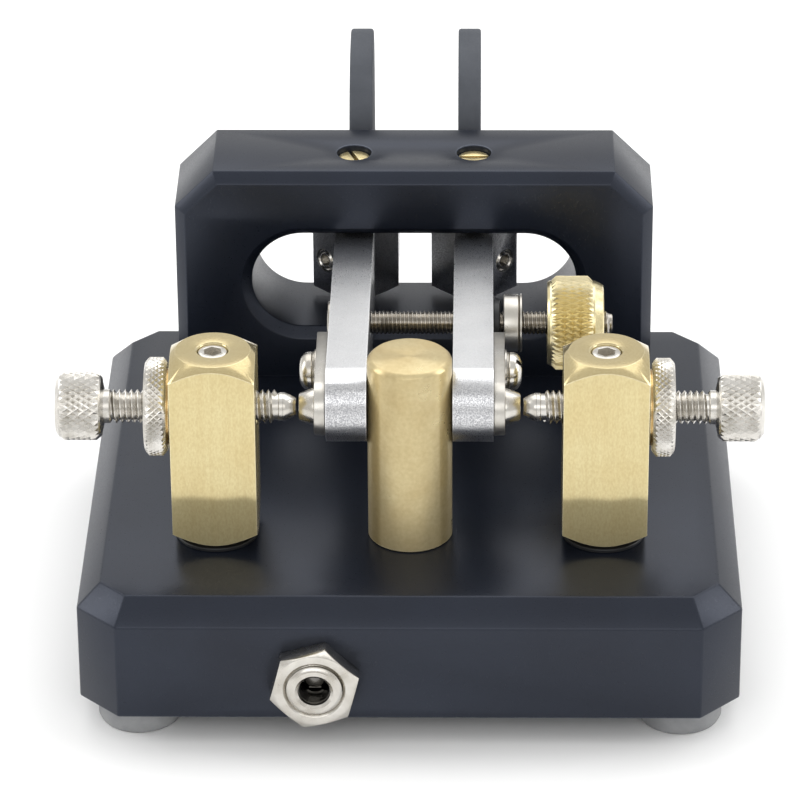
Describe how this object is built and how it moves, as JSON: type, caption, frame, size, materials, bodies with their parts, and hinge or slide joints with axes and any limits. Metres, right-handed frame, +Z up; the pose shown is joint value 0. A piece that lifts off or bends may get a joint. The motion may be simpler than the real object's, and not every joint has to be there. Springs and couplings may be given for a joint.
{
  "type": "dual-lever morse key",
  "caption": "Dual-lever morse key on a chamfered metal base, with an upright frame, a stop post, contact screws on square posts and a jack socket.",
  "frame": {"origin": "centre of the bounding box in X and Y, on the plane the feet stand on", "axes": "+Z up; -Y is the side with the jack socket, +Y the side with the finger plates; +X is the side with the tension knob"},
  "size_m": [0.083, 0.0942, 0.0532],
  "materials": {
    "black_anodised": "satin black anodised",
    "blasted_alloy": "fine bead-blasted, clear anodised",
    "brass": "satin turned and milled",
    "nickel": "nickel plated",
    "steel": "machined",
    "grey_plate": "matte dark grey",
    "insulator": "matte black",
    "grey_rubber": "matte",
    "tinned": "tinned",
    "wire_red": "insulation",
    "wire_white": "insulation",
    "wire_black": "insulation"
  },
  "bodies": {
    "base": {"base_block": "black_anodised", "upright_frame": "black_anodised", "stop_post": "brass", "stop_post_screw": "steel", "ground_tag": "tinned", "jack_bushing": "nickel", "jack_nut": "nickel", "jack_body": "insulator", "jack_lug_tip": "tinned", "jack_lug_ring": "tinned", "jack_lug_sleeve": "tinned", "wire_left": "wire_red", "wire_right": "wire_white", "wire_ground": "wire_black", "upright_screw_left": "steel", "upright_screw_right": "steel", "pivot_screw_upper_left": "brass", "pivot_screw_upper_right": "brass", "pivot_screw_lower_left": "brass", "pivot_screw_lower_right": "brass", "contact_post_left": "brass", "contact_post_right": "brass", "post_washer_left": "insulator", "post_washer_right": "insulator", "post_bush_left": "insulator", "post_bush_right": "insulator", "post_tag_left": "tinned", "post_tag_right": "tinned", "post_screw_left": "steel", "post_screw_right": "steel", "post_grub_left": "steel", "post_grub_right": "steel", "foot_front_left": "grey_rubber", "foot_front_right": "grey_rubber", "foot_back_left": "grey_rubber", "foot_back_right": "grey_rubber"},
    "left_arm": {"lever_left": "blasted_alloy", "finger_plate_left": "grey_plate", "clamp_screw_left": "steel", "contact_strip_left": "nickel", "contact_rivet_left": "nickel", "strip_screw_left": "nickel", "tension_rod": "nickel"},
    "right_arm": {"lever_right": "blasted_alloy", "finger_plate_right": "grey_plate", "clamp_screw_right": "steel", "contact_strip_right": "nickel", "contact_rivet_right": "nickel", "strip_screw_right": "nickel", "tension_bush": "insulator"},
    "collar": {"tension_collar": "nickel"},
    "knob": {"tension_knob": "brass"},
    "left_tip": {"contact_tip_left": "nickel"},
    "left_screw": {"contact_screw_left": "nickel"},
    "left_nut": {"locknut_left": "nickel"},
    "right_tip": {"contact_tip_right": "nickel"},
    "right_screw": {"contact_screw_right": "nickel"},
    "right_nut": {"locknut_right": "nickel"}
  },
  "joints": [
    {"name": "lever_left_pivot", "type": "hinge", "parent": "base", "child": "left_arm", "pos_m": [-0.00747, 0.01915, 0.0316], "axis": [0, 0, -1], "range_deg": [0, 0.3], "stiffness_Nm_per_rad": 0.45, "springref_deg": -1.15},
    {"name": "lever_right_pivot", "type": "hinge", "parent": "base", "child": "right_arm", "pos_m": [0.00747, 0.01915, 0.0316], "axis": [0, 0, 1], "range_deg": [0, 0.3], "stiffness_Nm_per_rad": 0.45, "springref_deg": -1.15},
    {"name": "tension_travel", "type": "slide", "parent": "left_arm", "child": "collar", "axis": [1, 0, 0], "range_m": [0, 0.001]},
    {"name": "tension_turn", "type": "hinge", "parent": "collar", "child": "knob", "pos_m": [0, -0.0048, 0.03525], "axis": [1, 0, 0], "range_deg": [0, 720.2]},
    {"name": "contact_left_travel", "type": "slide", "parent": "base", "child": "left_tip", "axis": [-1, 0, 0], "range_m": [-0.0001, 0.0014]},
    {"name": "contact_left_turn", "type": "hinge", "parent": "left_tip", "child": "left_screw", "pos_m": [0, -0.0266, 0.0355], "axis": [-1, 0, 0], "range_deg": [-51.6, 720.2]},
    {"name": "locknut_left_turn", "type": "hinge", "parent": "base", "child": "left_nut", "pos_m": [0, -0.0266, 0.0355], "axis": [-1, 0, 0], "range_deg": [0, 90]},
    {"name": "contact_right_travel", "type": "slide", "parent": "base", "child": "right_tip", "axis": [1, 0, 0], "range_m": [-0.0001, 0.0014]},
    {"name": "contact_right_turn", "type": "hinge", "parent": "right_tip", "child": "right_screw", "pos_m": [0, -0.0266, 0.0355], "axis": [1, 0, 0], "range_deg": [-51.6, 720.2]},
    {"name": "locknut_right_turn", "type": "hinge", "parent": "base", "child": "right_nut", "pos_m": [0, -0.0266, 0.0355], "axis": [1, 0, 0], "range_deg": [0, 90]}
  ],
  "couplings": [
    {"joint": "tension_turn", "follows": "tension_travel", "rad_per_m": 12566},
    {"joint": "contact_left_turn", "follows": "contact_left_travel", "rad_per_m": 8976},
    {"joint": "contact_right_turn", "follows": "contact_right_travel", "rad_per_m": 8976}
  ]
}
